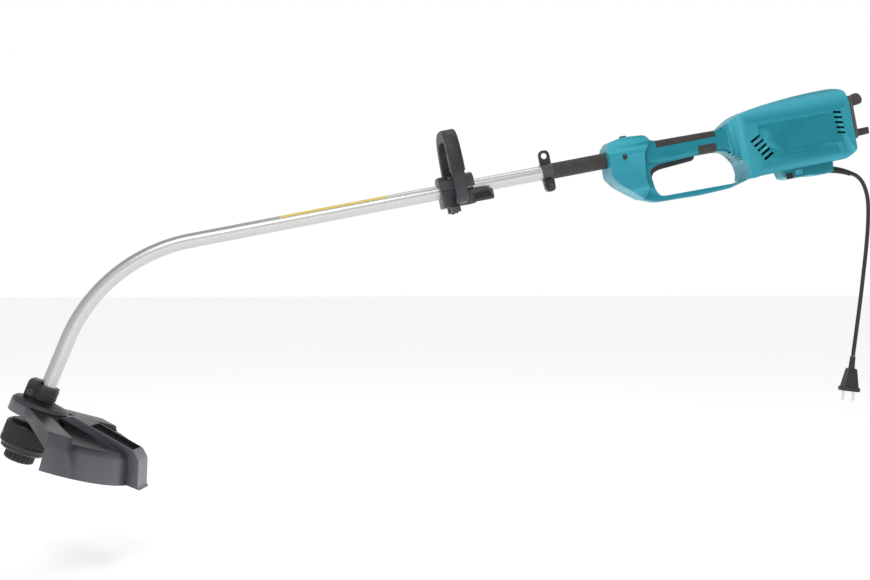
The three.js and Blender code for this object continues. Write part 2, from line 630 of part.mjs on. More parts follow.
// Panels on the motor's sides, each one sunk below the last: x and z of their corners, then the depth.
const SIDE_PANELS = [
  [[[383, -18.6], [406.3, -48.6, 4], [527, -55], [545, -40], [545, 26], [500, 24], [445, 12.8]], 1],
  [[[393, -17], [414.3, -42, 4], [512.6, -44.3, 3], [511, 8], [470, 6], [440, 0]], 1.9],
];
const FRONT_VENTS = { count: 5, x: 352, z: -12.9, stepX: 4.2, stepZ: -8.2, length: 19, width: 4.4, lean: 60 };
const REAR_VENTS = { count: 5, x: 503.5, z: 5.4, stepX: 0.3, stepZ: -8.8, length: 15, width: 3.8, lean: 101 };
const GRIP_VENTS = { count: 4, x: 311, z: -28, stepX: 4.4, stepZ: -5.3, length: 7.5, width: 2.4, lean: 46 };
const SCREW_SITES = [[118, -36], [170, -79], [346, -62], [500, 37]];
const BEARING_R = 11;
const SHAFT_R = 4;

// The housing's outer form, drawn in by a distance.
function housingForm(d) {
  const room = (points) => outline(d > 0 ? inset(points, d) : points);
  const frame = slab('y', room(FRAME_OUTLINE), d - FRAME_HALF, FRAME_HALF - d, d > 0 ? 0 : 5);
  const opening = inset(HAND_OPENING, -d);
  const hole = slab('y', outline(opening), -60, 60);
  const collar = slab('y', room(COLLAR_OUTLINE), d - COLLAR_HALF, COLLAR_HALF - d, d > 0 ? 0 : 1.5)
    .intersect(slab('x', room(COLLAR_FRONT), 90, 200));
  const motor = slab('y', room(MOTOR_OUTLINE), d - 46, 46 - d, 0)
    .intersect(slab('x', room(MOTOR_FRONT), 300, 540))
    .intersect(slab('z', room(MOTOR_TOP), -100, 60));
  const cordBlock = slab('y', room(CORD_BLOCK), d - 20, 20 - d, d > 0 ? 0 : 3);
  return join(cut(join(frame, motor), hole), collar, cordBlock);
}

function gripForm(d) {
  return slab('y', outline(inset(GRIP_OUTLINE, d)), d - GRIP_HALF, GRIP_HALF - d, 7 - d / 2);
}

const UPPER_GRIP_ZONE = [186, 292, -30, 30, 5, 40];
const LOWER_GRIP_ZONE = [258, 290, -30, 30, -40, -6];

function grown([x0, x1, y0, y1, z0, z1], by) {
  return block(x0 - by, x1 + by, y0, y1, z0 - by, z1 + by);
}

function softGrips() {
  const group = new THREE.Group();
  const skin = cut(gripForm(0), gripForm(GRIP_SKIN));
  group.add(mesh('upper_grip', skin.intersect(block(...UPPER_GRIP_ZONE)), SOFT));
  group.add(mesh('lower_grip', skin.intersect(block(...LOWER_GRIP_ZONE)), SOFT));
  return group;
}

// Slanted ventilation slots through one side wall, which stands between two distances from the middle.
function slots({ count, x, z, stepX, stepZ, length, width, lean }, side, inner, outer) {
  return Array.from({ length: count }, (_, i) => {
    const geometry = new THREE.BoxGeometry(width, outer - inner, length);
    geometry.rotateY(radians(lean)).translate(x + i * stepX, (side * (inner + outer)) / 2, z + i * stepZ);
    return solid(geometry);
  });
}

function housing() {
  const group = new THREE.Group();
  const outer = join(housingForm(0), gripForm(0));
  const gripWalls = [UPPER_GRIP_ZONE, LOWER_GRIP_ZONE].map((zone) => (
    cut(gripForm(-1), gripForm(GRIP_SKIN + GAP + WALL)).intersect(grown(zone, GAP + WALL))
  ));
  const inner = cut(join(housingForm(WALL), gripForm(GRIP_SKIN + GAP + WALL)), ...gripWalls);
  const recess = cut(gripForm(-1), gripForm(GRIP_SKIN + GAP));
  const recesses = [UPPER_GRIP_ZONE, LOWER_GRIP_ZONE].map((zone) => recess.intersect(grown(zone, GAP)));

  const middle = join(housingForm(WALL / 2), gripForm(GRIP_SKIN + GAP + WALL / 2));
  const within = (tool) => tool.intersect(middle);
  const cradle = rod('x', 17, 101, 152, 0, 0, 14);
  const rib = (x, bore) => cut(within(block(x, x + 3, -60, 60, -100, 60)),
    rod('x', bore, x - 5, x + 8, 0, 0, 16));
  const switchRoom = block(140, 150, -60, 60, -100, -18);
  const ribs = [cut(rib(147, 12.3), switchRoom), rib(358, 8), rib(449, 38.4), rib(516, 6)];
  const seat = (x0, x1) => rod('x', BEARING_R + 3, x0, x1, 0, 0, 14);
  const bosses = SCREW_SITES.map(([x, z]) => within(rod('y', 5.6, -60, 60, x, z, 8)));
  const springShelf = within(block(196, 214, -30, 30, -9.5, -7.6));
  const guts = join(cradle, ...ribs, seat(352, 372), seat(508.6, 519), ...bosses, springShelf);

  const tubeBore = rod('x', TUBE_R + GAP, 90, 153, 0, 0, 24);
  const sleeveBore = rod('x', 13.4 + GAP, 90, 118.4, 0, 0, 24);
  const linerWay = rod('x', LINER_R + 0.5, 150, 310, 0, 0, 16);
  const shaftWay = rod('x', 9, 305, 380, 0, 0, 16);
  const bearingBores = [rod('x', BEARING_R + GAP, 361.7, 380, 0, 0, 16),
    rod('x', BEARING_R + GAP, 500, 514.3, 0, 0, 16)];
  const rearWay = rod('x', 6, 500, 525, 0, 0, 16);
  const screwWays = SCREW_SITES.flatMap(([x, z]) => [
    rod('y', 2.2, -12.8, 40, x, z, 10),
    rod('y', 4.2, 7.7, 60, x, z, 12),
  ]);
  const triggerSlot = slab('y',
    outline([[163, -50], [180, -50], [180, -26], [256, -24], [256, -13], [163, -13]]), -7, 7);
  const buttonHole = rod('z', 6.3, 16, 40, BUTTON_X, 0, 16);
  const pivotHole = rod('y', 3.3, -13.6, 13.6, ...TRIGGER_PIN, 12);
  const collarScrewHole = join(rod('y', 2.3, -40, -12, 125.6, -1, 10),
    rod('y', 4.8, -40, -26.2, 125.6, -1, 14));
  const vents = [-1, 1].flatMap((side) => [
    ...slots(FRONT_VENTS, side, 36, 50),
    ...slots(REAR_VENTS, side, 36, 50),
    ...slots(GRIP_VENTS, side, 10.5, 40),
  ]);
  const panels = [-1, 1].flatMap((side) => SIDE_PANELS.map(([corners, depth]) => {
    const face = MOTOR_HALF - depth;
    return slab('y', outline(corners), Math.min(side * face, side * 60), Math.max(side * face, side * 60));
  }));
  const cordExit = solid(new THREE.CylinderGeometry(4.6, 4.6, 40, 12).rotateZ(Math.PI / 2)
    .rotateY(radians(CORD_DROP)).translate(...CORD_EXIT));
  const openBack = block(523, 545, -33, 33, -42, 30);

  const shell = cut(
    join(cut(outer, inner), guts),
    tubeBore, sleeveBore, linerWay, shaftWay, ...bearingBores, rearWay, ...screwWays, triggerSlot,
    buttonHole, pivotHole, collarScrewHole, ...vents, ...panels, cordExit, openBack, ...recesses,
  );
  const seam = GAP / 2;
  group.add(mesh('housing_left', shell.intersect(block(50, 600, -90, -seam, -150, 100)), TEAL));
  group.add(mesh('housing_right', shell.intersect(block(50, 600, seam, 90, -150, 100)), TEAL));

  SCREW_SITES.forEach(([x, z], i) => {
    const screw = join(rod('y', 3.8, 8, 10.8, x, z, 12), rod('y', 1.9, -12.4, 8.5, x, z, 10));
    group.add(mesh(`housing_screw_${i + 1}`, screw, STEEL));
  });
  const collarScrew = join(rod('y', 4.4, -29.4, -26.5, 125.6, -1, 14),
    rod('y', 2, -27, -12.6, 125.6, -1, 10));
  group.add(mesh('collar_screw', collarScrew, STEEL));
  return group;
}

// The dark end cover with its two cord hooks.
function rearCover() {
  const plate = slab('x', outline([[-37, -45, 6], [37, -45, 6], [37, 30, 6], [-37, 30, 6]]), 530.4, 538, 2);
  const plug = block(524, 531, -32.6, 32.6, -41.6, 29.6);
  const room = block(520, 534, -30, 30, -39, 27);
  const upper = slab('y', outline([
    [534, 12], [548, 11.6, 3], [558, 13.5, 3], [561.5, 21, 5], [556, 31.5, 5], [547, 33, 4],
      [542.5, 27.5, 2], [534, 26.5],
  ]), -28, -14, 2, 3);
  const lower = slab('y', outline([[534, -41.5], [562.6, -40.5, 2], [563, -28.5, 2], [534, -29]]), -27, -15,
    0.8);
  const grille = Array.from({ length: 6 }, (_, i) => block(532, 540, -24, 24, -20 + i * 7, -17 + i * 7));
  return mesh('rear_cover', cut(join(plate, cut(plug, room), upper, lower), room, ...grille), DARK);
}

// ---- trigger, lock-off and switch ----

function controls() {
  const group = new THREE.Group();
  const lever = [
    [171, -47.5, 2], [175.6, -36.4, 4], [187, -32.2, 4], [248, -28, 3], [252.6, -24, 2], [253.5, -14, 3],
      [246, -11.5, 3],
    [232, -17.5], [178, -19.5, 4], [167, -29], [167, -46.5, 2],
  ];
  const pivots = rod('y', 3, -13.2, 13.2, ...TRIGGER_PIN, 12);
  const springSeat = rod('z', 4.6, -18.2, -10, 205, 0, 14);
  group.add(mesh('trigger', cut(join(slab('y', outline(lever), -6.5, 6.5, 0.6, 3), pivots), springSeat),
    BLACK));
  group.add(mesh('trigger_spring', spring(3.3, 0.6, -18, -9.8, 3, 205), STEEL));

  const button = turned('z', [[0, 25], [7.6, 25], [7.6, 27.6], [6, 27.6], [6, 34.6], [5, 35.8], [0, 35.8]],
    20);
  const lockButton = mesh('lock_off_button', button, BLACK);
  lockButton.position.x = BUTTON_X;
  group.add(lockButton);
  return group;
}

// ---- motor ----
function motor() {
  const group = new THREE.Group();
  const armature = [
    [0, 338], [SHAFT_R, 338], [SHAFT_R, 410], [9, 412], [16, 418], [17, 427], [21, 428], [21, 474], [17, 475],
    [15, 484], [13, 486], [13, 506], [6, 508], [SHAFT_R, 509], [SHAFT_R, 522], [0, 522],
  ];
  group.add(mesh('armature', turned('x', armature, 16), COPPER));
  const field = [
    [22, 428], [22, 474], [25, 476], [25, 484], [33, 484], [34, 475], [38, 474], [38, 428], [34, 427],
      [33, 418], [25, 418], [25, 426],
  ];
  group.add(mesh('field_core', turned('x', field, 16), STEEL));
  const hub = turned('x', [[SHAFT_R + GAP, 384], [12, 384], [31, 398], [31, 400.5], [SHAFT_R + GAP, 400.5]],
    24);
  const bladeCount = 9;
  const blades = Array.from({ length: bladeCount }, (_, i) => {
    const geometry = new THREE.BoxGeometry(15, 17, 1.6);
    geometry.translate(393.4, 21.5, 0).rotateX((i * 2 * Math.PI) / bladeCount);
    return solid(geometry);
  });
  group.add(mesh('cooling_fan', join(hub, ...blades), NYLON));
  group.add(bearing('motor_bearing_front', 'x', SHAFT_R + GAP, BEARING_R, 362, 370));
  group.add(bearing('motor_bearing_rear', 'x', SHAFT_R + GAP, BEARING_R, 509.6, 514));
  const coupling = cut(rod('x', 7.6, 322, 352, 0, 0, 16), rod('x', FLEX_R + GAP, 320, 337, 0, 0, 12),
    rod('x', SHAFT_R + GAP, 336, 354, 0, 0, 12));
  group.add(mesh('drive_coupling', coupling, STEEL));
  for (const [side, hand] of [['left', -1], ['right', 1]]) {
    const y0 = Math.min(hand * 13.4, hand * 28);
    const y1 = Math.max(hand * 13.4, hand * 28);
    group.add(mesh(`carbon_brush_${side}`, block(492, 500, y0, y1, -3.5, 3.5), CARBON));
  }
  group.add(mesh('power_switch', block(126, 152, -9, 9, -52, -26), BLACK));
  return group;
}

// ---- power cord, its strain relief and its plug ----
// The free cord's centre line in the row frame, x and z, from the strain relief to the plug.
const CORD_ROUTE = [
  [547.9, -22.4], [552.6, -24], [557.6, -26.3], [562.5, -29.8], [566.7, -34], [570.2, -38.9],
    [573.2, -44.7], [576, -52.2],
  [578.3, -60.9], [579.9, -70.8], [580.7, -81.8], [580.8, -95], [580.2, -113], [578.6, -137], [575.9, -165],
    [572.6, -194],
  [569.1, -224], [565.3, -254], [561.4, -283], [557.3, -313], [553.2, -342.2],
];

// The strain relief: a taper turned along x, then bent down evenly along its length.
function cordGuard() {
  const stations = 6;
  const profile = Array.from({ length: stations + 1 }, (_, i) => {
    const along = i / stations;
    return new THREE.Vector2(THREE.MathUtils.lerp(6.2, 4.4, along), along * RELIEF_LENGTH);
  });
  const points = [new THREE.Vector2(0, 0), ...profile, new THREE.Vector2(0, RELIEF_LENGTH)];
  const geometry = new THREE.LatheGeometry(points, 14).rotateZ(-Math.PI / 2);
  const position = geometry.attributes.position;
  const bend = radians(RELIEF_BEND);
  const radius = RELIEF_LENGTH / bend;
  for (let i = 0; i < position.count; i += 1) {
    const angle = (position.getX(i) / RELIEF_LENGTH) * bend;
    const reach = radius + position.getZ(i);
    position.setX(i, reach * Math.sin(angle));
    position.setZ(i, reach * Math.cos(angle) - radius);
  }
  const piece = mesh('cord_guard', solid(geometry), SOFT);
  piece.position.set(...CORD_EXIT);
  piece.rotation.y = radians(CORD_DROP);
  return piece;
}

function powerCord() {
  const route = new THREE.CatmullRomCurve3(CORD_ROUTE.map(([x, z]) => new THREE.Vector3(x, 0, z)));
  const options = { steps: 28, extrudePath: route, curveSegments: 4 };
  return mesh('power_cord', solid(new THREE.ExtrudeGeometry(disc(CORD_R), options)), DARK);
}

// A flat two-pin plug hanging on the cord's end; z runs up its axis, x across the pins.
function plug() {
  const group = new THREE.Group();
  const reliefFoot = -21;
  const bodyFoot = -55;
  const face = -61.5;
  const relief = turned('z', [[0, reliefFoot - 1], [5.6, reliefFoot - 1], [4.6, 0], [0, 0]], 14);
  const front = [[-7.4, reliefFoot, 3], [-13, bodyFoot], [13, bodyFoot], [7.4, reliefFoot, 3]];
  const side = [[-6.4, reliefFoot, 3], [-9.5, bodyFoot], [9.5, bodyFoot], [6.4, reliefFoot, 3]];
  const body = slab('y', outline(front), -20, 20).intersect(slab('x', outline(side), -20, 20));
  const rim = [[-18.3, -13, 11], [18.3, -13, 11], [18.3, 13, 11], [-18.3, 13, 11]];
  const flange = slab('z', outline(rim), face, bodyFoot + 1, 1.2);
  group.add(mesh('plug_body', join(relief, body, flange), DARK));
  for (const [hand, sign] of [['left', -1], ['right', 1]]) {
    const pin = turned('z',
      [[0, face - 17], [1.6, face - 17], [2.4, face - 15], [2.4, face - GAP], [0, face - GAP]], 12);
    const piece = mesh(`plug_pin_${hand}`, pin, STEEL);
    piece.position.x = (sign * PLUG_PITCH) / 2;
    group.add(piece);
  }
  const [x, z] = CORD_ROUTE.at(-1);
  const tilt = radians(PLUG_TILT);
  group.rotation.y = tilt;
  group.position.set(x - GAP * Math.sin(tilt), 0, z - GAP * Math.cos(tilt));
  return group;
}

// ---- assembly ----
const trimmer = new THREE.Group();
const shaft = new THREE.Group();
shaft.rotation.y = -radians(SHAFT_TILT);
const eye = new THREE.Vector3(HANGER_X, 0, EYE_Z).applyEuler(shaft.rotation);
shaft.position.copy(eye).negate();
shaft.add(shaftTube(), driveLiner(), flexibleShaft(), shaftSleeve(), strapHanger(), loopHandle());
shaft.add(housing(), softGrips(), rearCover(), controls(), motor(), cordGuard());

const head = new THREE.Group();
const bend = radians(BEND_ANGLE);
head.position.set(BEND_X - BEND_R * Math.sin(bend), 0, -BEND_R * (1 - Math.cos(bend)));
head.rotation.y = Math.PI / 2 - bend;
head.add(bearingCase(), guard(), lineCutter(), spool());
shaft.add(head);
trimmer.add(shaft, powerCord(), plug());

export default trimmer;
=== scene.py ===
"""Looks for the string trimmer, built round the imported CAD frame. Metres, row frame."""

import json
import math

import bmesh
import bpy
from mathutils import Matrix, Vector


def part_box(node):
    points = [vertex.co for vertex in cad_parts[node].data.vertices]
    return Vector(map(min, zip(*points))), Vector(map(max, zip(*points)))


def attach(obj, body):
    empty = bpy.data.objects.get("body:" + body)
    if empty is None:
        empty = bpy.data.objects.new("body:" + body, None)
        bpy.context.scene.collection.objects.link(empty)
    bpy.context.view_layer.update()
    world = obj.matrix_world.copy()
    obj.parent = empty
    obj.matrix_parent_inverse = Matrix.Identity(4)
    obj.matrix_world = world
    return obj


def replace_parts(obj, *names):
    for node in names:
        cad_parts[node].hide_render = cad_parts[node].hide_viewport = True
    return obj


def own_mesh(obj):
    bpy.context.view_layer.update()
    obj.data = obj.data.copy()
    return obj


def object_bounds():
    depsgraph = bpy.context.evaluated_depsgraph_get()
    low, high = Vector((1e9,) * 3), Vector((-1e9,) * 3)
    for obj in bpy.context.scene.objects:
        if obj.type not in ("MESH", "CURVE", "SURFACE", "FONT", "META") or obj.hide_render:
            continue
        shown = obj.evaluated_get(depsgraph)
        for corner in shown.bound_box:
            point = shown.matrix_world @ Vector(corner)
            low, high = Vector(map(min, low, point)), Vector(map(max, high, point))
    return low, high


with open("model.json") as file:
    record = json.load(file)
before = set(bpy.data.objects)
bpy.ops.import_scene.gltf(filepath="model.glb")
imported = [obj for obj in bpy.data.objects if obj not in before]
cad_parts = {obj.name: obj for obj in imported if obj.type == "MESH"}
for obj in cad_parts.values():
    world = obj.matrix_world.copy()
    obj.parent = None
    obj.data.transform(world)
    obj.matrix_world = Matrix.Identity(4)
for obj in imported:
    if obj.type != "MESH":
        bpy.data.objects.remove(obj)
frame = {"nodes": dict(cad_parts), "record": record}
cad_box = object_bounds()
nodes = frame["nodes"]
record = frame["record"]

# ---- frames of the CAD, in metres ----
TILT = math.radians(11.3)
EYE = (-0.004, 0.0275)
BEND_X = -0.607
BEND_R = 0.266
BEND = math.radians(56.6)
BEND_END = (BEND_X - BEND_R * math.sin(BEND), -BEND_R * (1 - math.cos(BEND)))


def shaft(x, y, z):
    """A point given along the straight tube, as a point in the row frame."""
    dx, dz = x - EYE[0], z - EYE[1]
    return Vector((
        dx * math.cos(TILT) - dz * math.sin(TILT),
        y,
        dx * math.sin(TILT) + dz * math.cos(TILT),
    ))


def head(a, y, h):
    """A point given round the spool's axis, h up it and a rearwards, in the row frame."""
    x = BEND_END[0] + a * math.sin(BEND) + h * math.cos(BEND)
    z = BEND_END[1] - a * math.cos(BEND) + h * math.sin(BEND)
    return shaft(x, y, z)


# ---- camera ----
TARGET = Vector((-0.18499, 0.0, -0.22578))
AZIMUTH, ELEVATION = math.radians(-7.5), math.radians(0.5)
DISTANCE = 2.0
SENSOR_MM, LENS_MM = 36, 49.56
BACK = Vector((
    math.sin(AZIMUTH) * math.cos(ELEVATION),
    -math.cos(AZIMUTH) * math.cos(ELEVATION),
    math.sin(ELEVATION),
))
camera = bpy.data.objects.new("camera", bpy.data.cameras.new("camera"))
bpy.context.scene.collection.objects.link(camera)
camera.data.sensor_width = SENSOR_MM
camera.data.lens = LENS_MM
camera.location = TARGET + BACK * DISTANCE
camera.rotation_mode = "QUATERNION"
camera.rotation_quaternion = (-BACK).to_track_quat("-Z", "Y")
bpy.context.scene.camera = camera


# ---- materials ----
class Nodes:
    """A material's node tree, with short calls for the nodes that are used here."""

    def __init__(self, name):
        self.material = bpy.data.materials.new(name)
        self.material.use_nodes = True
        self.tree = self.material.node_tree
        self.shader = self.tree.nodes["Principled BSDF"]
        self.coords = self.tree.nodes.new("ShaderNodeTexCoord")

    def link(self, a, b):
        self.tree.links.new(a, b)

    def space(self, scale, uv=False):
        node = self.tree.nodes.new("ShaderNodeMapping")
        node.inputs["Scale"].default_value = scale
        self.link(self.coords.outputs["UV" if uv else "Object"], node.inputs["Vector"])
        return node.outputs["Vector"]

    def noise(self, scale, detail=3.0, stretch=(1, 1, 1), uv=False):
        node = self.tree.nodes.new("ShaderNodeTexNoise")
        node.inputs["Scale"].default_value = scale
        node.inputs["Detail"].default_value = detail
        self.link(self.space(stretch, uv), node.inputs["Vector"])
        return node.outputs["Fac"]

    def cells(self, scale):
        node = self.tree.nodes.new("ShaderNodeTexVoronoi")
        node.inputs["Scale"].default_value = scale
        self.link(self.space((1, 1, 1)), node.inputs["Vector"])
        return node.outputs["Distance"]

    def ranged(self, value, low, high, out_low, out_high):
        node = self.tree.nodes.new("ShaderNodeMapRange")
        for key, number in (("From Min", low), ("From Max", high), ("To Min", out_low), ("To Max", out_high)):
            node.inputs[key].default_value = number
        self.link(value, node.inputs["Value"])
        return node.outputs["Result"]

    def mix(self, factor, a, b):
        node = self.tree.nodes.new("ShaderNodeMix")
        node.data_type = "RGBA"
        self.link(factor, node.inputs[0])
        for socket, colour in ((node.inputs[6], a), (node.inputs[7], b)):
            if isinstance(colour, tuple):
                socket.default_value = (*colour, 1)
            else:
                self.link(colour, socket)
        return node.outputs[2]

    def add(self, a, b):
        node = self.tree.nodes.new("ShaderNodeMath")
        node.operation = "ADD"
        self.link(a, node.inputs[0])
        self.link(b, node.inputs[1])
        return node.outputs[0]

    def edges(self, low, high):
        """From 0 on flats to 1 on sharp outer edges, where wear and a painted highlight go."""
        node = self.tree.nodes.new("ShaderNodeNewGeometry")
        return self.ranged(node.outputs["Pointiness"], low, high, 0, 1)

    def bump(self, height, distance, round_edge=0.0):
        """A bump of this depth; round_edge is the radius that edges are shaded with."""
        node = self.tree.nodes.new("ShaderNodeBump")
        if round_edge:
            soft = self.tree.nodes.new("ShaderNodeBevel")
            soft.samples = 6
            soft.inputs["Radius"].default_value = round_edge
            self.link(soft.outputs["Normal"], node.inputs["Normal"])
        node.inputs["Distance"].default_value = distance
        self.link(height, node.inputs["Height"])
        self.link(node.outputs["Normal"], self.shader.inputs["Normal"])

    def set(self, **values):
        for key, value in values.items():
            socket = self.shader.inputs[key.replace("_", " ")]
            if hasattr(value, "is_linked"):
                self.link(value, socket)
            else:
                socket.default_value = (*value, 1) if isinstance(value, tuple) else value


MOULD_EDGE = 0.0007


def moulded(name, colour, worn_and_sheen, rough, grain=1400, relief=0.00004, mottle=0.10, **extra):
    """Moulded plastic: a spark-eroded grain, faint flow mottling, and paler outer edges that are partly wear and
    partly a painted highlight.
    """
    n = Nodes(name)
    dark = tuple(c * (1 - mottle) for c in colour)
    pale = tuple(min(1, c * (1 + mottle) + 0.002) for c in colour)
    flow = n.ranged(n.noise(35, 5), 0.35, 0.65, 0, 1)
    base = n.mix(flow, dark, pale)
    # paler sharp edges: partly wear, partly a painted highlight standing in for the sheen of light along them
    n.set(Base_Color=n.mix(n.edges(0.52, 0.62), base, worn_and_sheen))
    n.set(Roughness=n.ranged(n.noise(160, 4), 0.3, 0.7, rough - 0.05, rough + 0.06))
    n.bump(n.add(n.noise(grain, 2), n.cells(grain * 0.8)), relief, round_edge=MOULD_EDGE)
    n.set(**extra)
    return n.material


def soft_rubber(name, colour, rough, pimple=900, relief=0.00012):
    """Soft overmould: a fine pimpled texture with handled, slightly shinier patches."""
    n = Nodes(name)
    dust = n.ranged(n.noise(60, 6), 0.45, 0.75, 0, 1)
    n.set(Base_Color=n.mix(dust, colour, tuple(c * 1.5 + 0.004 for c in colour)))
    n.set(Roughness=n.ranged(n.noise(45, 4), 0.3, 0.7, rough - 0.08, rough + 0.06))
    n.bump(n.add(n.cells(pimple), n.noise(2200, 2)), relief)
    return n.material


def drawn_metal(name, colour, rough, stretch, scale, uv=False, relief=0.00001):
    """Drawn or turned metal, with fine lines along one direction and small scuffs."""
    n = Nodes(name)
    lines = n.noise(scale, 4, stretch, uv)
    tone = n.mix(n.ranged(lines, 0.3, 0.7, 0, 1), tuple(c * 0.9 for c in colour), colour)
    scuffs = n.ranged(n.noise(90, 6), 0.62, 0.75, 0, 1)
    n.set(Base_Color=n.mix(scuffs, tone, tuple(c * 0.82 for c in colour)))
    n.set(Roughness=n.ranged(lines, 0.3, 0.7, rough - 0.06, rough + 0.07))
    n.set(Metallic=1.0)
    n.bump(lines, relief)
    return n.material


def windings(name):
    """Lacquered copper wire, wound round the axis of the motor."""
    n = Nodes(name)
    wave = n.tree.nodes.new("ShaderNodeTexWave")
    wave.inputs["Scale"].default_value = 420
    n.link(n.space((1, 1, 1)), wave.inputs["Vector"])
    n.set(Base_Color=n.mix(wave.outputs["Fac"], (0.30, 0.10, 0.03), (0.62, 0.27, 0.10)))
    n.set(Roughness=n.ranged(n.noise(200), 0.3, 0.7, 0.25, 0.4), Metallic=0.8)
    n.bump(wave.outputs["Fac"], 0.0001)
    return n.material


TEAL = (0.0, 0.200, 0.262)
FINISH = {
    "aluminium_tube": drawn_metal(
        "aluminium_tube_finish", (0.62, 0.62, 0.61), 0.36, (1, 40, 1), 6, uv=True, relief=0.000002,
    ),
    "teal_plastic": moulded(
        "teal_finish", TEAL, (0.05, 0.40, 0.50), 0.30, mottle=0.05, relief=0.000008, Specular_IOR_Level=0.34,
    ),
    "black_plastic": moulded(
        "black_finish", (0.010, 0.010, 0.012), (0.07, 0.07, 0.08), 0.36, Specular_IOR_Level=0.36,
    ),
    "dark_cover": moulded("cover_finish", (0.024, 0.021, 0.020), (0.09, 0.08, 0.075), 0.46, grain=1100),
    "soft_grip": soft_rubber("grip_finish", (0.030, 0.026, 0.023), 0.60),
    "cord_rubber": soft_rubber("cord_finish", (0.014, 0.013, 0.013), 0.40, pimple=1800, relief=0.00003),
    "steel": drawn_metal("steel_finish", (0.55, 0.55, 0.57), 0.32, (1, 1, 6), 300),
    "nickel": drawn_metal("nickel_finish", (0.72, 0.70, 0.66), 0.24, (1, 1, 8), 260),
    "copper_windings": windings("winding_finish"),
    "white_nylon": moulded("nylon_finish", (0.72, 0.70, 0.62), (0.80, 0.79, 0.74), 0.42, grain=700),
    "orange_plastic": moulded("orange_finish", (0.62, 0.17, 0.03), (0.75, 0.32, 0.12), 0.42),
    "carbon": moulded("carbon_finish", (0.02, 0.02, 0.02), (0.05, 0.05, 0.05), 0.7, grain=500),
}
# the guard's pale lilac edge colour is partly a painted sheen, light caught along its edges, and partly wear
GUARD = moulded(
    "guard_finish", (0.009, 0.009, 0.012), (0.13, 0.13, 0.15), 0.30,
    grain=900, relief=0.00003, Specular_IOR_Level=0.42,
)
HANGER = moulded("hanger_finish", (0.012, 0.012, 0.013), (0.07, 0.07, 0.07), 0.30)
BLACKENED = drawn_metal("blackened_bolt_finish", (0.10, 0.10, 0.105), 0.32, (1, 1, 4), 300)
HANDLE_GRIP = soft_rubber("handle_grip_finish", (0.013, 0.012, 0.014), 0.46)
DARK_TEAL = moulded("dark_teal_finish", (0.0, 0.060, 0.085), (0.0, 0.15, 0.2), 0.34, relief=0.000008)
# near-black: painted shade, for the dark inside a recess
RECESS_SHADE = moulded("painted_recess_shade", (0.004, 0.004, 0.004), (0.01, 0.01, 0.01), 0.6)
LABEL = moulded("label_finish", (0.78, 0.60, 0.09), (0.72, 0.60, 0.22), 0.38, grain=600, relief=0.00001)

SLOT_OF = {row["node"]: row["material_slot"] for row in record["subparts"]}
SPECIAL = {"guard": GUARD, "strap_hanger": HANGER, "loop_grip": HANDLE_GRIP}
DARK_BOLTS = (
    "case_bolt", "collar_screw", "hanger_screw", "clamp_bolt_left", "clamp_bolt_right", "lever_pin",
    "guard_screw_left", "guard_screw_right", *(f"housing_screw_{i}" for i in (1, 2, 3, 4)),
)
SPECIAL.update({node: BLACKENED for node in DARK_BOLTS})

# ---- carried-over CAD nodes: their finishes and creases ----
# the angle, in degrees, above which an edge is a crease
CREASE_OTHER = 24
CREASE = {"housing_left": 13, "housing_right": 13, "guard": 14, "bearing_case": 20}
WELD_WITHIN = 0.000002


def finish_node(node):
    """Gives a CAD node its finish, and smooth shading between its creases.

    Modifiers join its facets and split them again at the creases. No surface moves:
    only the shader's bevel makes edges look rounded.
    """
    piece = nodes[node]
    mesh = piece.data
    mesh.materials.clear()
    mesh.materials.append(SPECIAL.get(node, FINISH[SLOT_OF[node]]))
    if "custom_normal" in mesh.attributes:
        mesh.attributes.remove(mesh.attributes["custom_normal"])
    for face in mesh.polygons:
        face.use_smooth = True
    weld = piece.modifiers.new("weld", "WELD")
    weld.merge_threshold = WELD_WITHIN
    crease = piece.modifiers.new("crease", "EDGE_SPLIT")
    crease.split_angle = math.radians(CREASE.get(node, CREASE_OTHER))


for node in nodes:
    finish_node(node)


# ---- pieces made here ----
SHARP = math.radians(38)
ACROSS = Vector((0, 1, 0))


def new_piece(name, vertices, faces, material, body):
    mesh = bpy.data.meshes.new(name)
    mesh.from_pydata(vertices, [], faces)
    mesh.materials.append(material)
    piece = bpy.data.objects.new(name, mesh)
    bpy.context.scene.collection.objects.link(piece)
    work = bmesh.new()
    work.from_mesh(mesh)
    bmesh.ops.recalc_face_normals(work, faces=work.faces)
    work.to_mesh(mesh)
    work.free()
    for face in mesh.polygons:
        face.use_smooth = True
    mesh.set_sharp_from_angle(angle=SHARP)
    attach(piece, body)
    return piece


def ring(centre, normal, side, radius, sides):
    """The vertices of a circle round centre, in the plane of normal and side."""
    angles = [2 * math.pi * k / sides for k in range(sides)]
    return [centre + radius * (normal * math.cos(angle) + side * math.sin(angle)) for angle in angles]


def band(a, b, sides):
    """The faces between the ring of vertices that starts at a and the one that starts at b."""
    faces = []
    for k in range(sides):
        m = (k + 1) % sides
        faces.append((a + k, a + m, b + m, b + k))
    return faces


def turned(name, profile, sides, place, material, body, shape=None):
    """A closed profile of (radius, height) turned about an axis. shape(angle, radius, i) trims the radius."""
    shape = shape or (lambda angle, radius, i: radius)
    vertices, faces = [], []
    for i, (radius, height) in enumerate(profile):
        for k in range(sides):
            angle = 2 * math.pi * k / sides
            r = shape(angle, radius, i)
            vertices.append(place(r * math.cos(angle), r * math.sin(angle), height))
    for i in range(len(profile)):
        faces += band(i * sides, (i + 1) % len(profile) * sides, sides)
    return new_piece(name, vertices, faces, material, body)


def swept(name, stations, sides, material, body, side=ACROSS):
    """A round section swept along stations of (centre, normal, radius), closed at both ends."""
    vertices, faces = [], []
    for centre, normal, radius in stations:
        vertices += ring(centre, normal, side, radius, sides)
    last = (len(stations) - 1) * sides
    for start in range(0, last, sides):
        faces += band(start, start + sides, sides)
    faces += [tuple(range(sides)), tuple(range(last, last + sides))]
    return new_piece(name, vertices, faces, material, body)


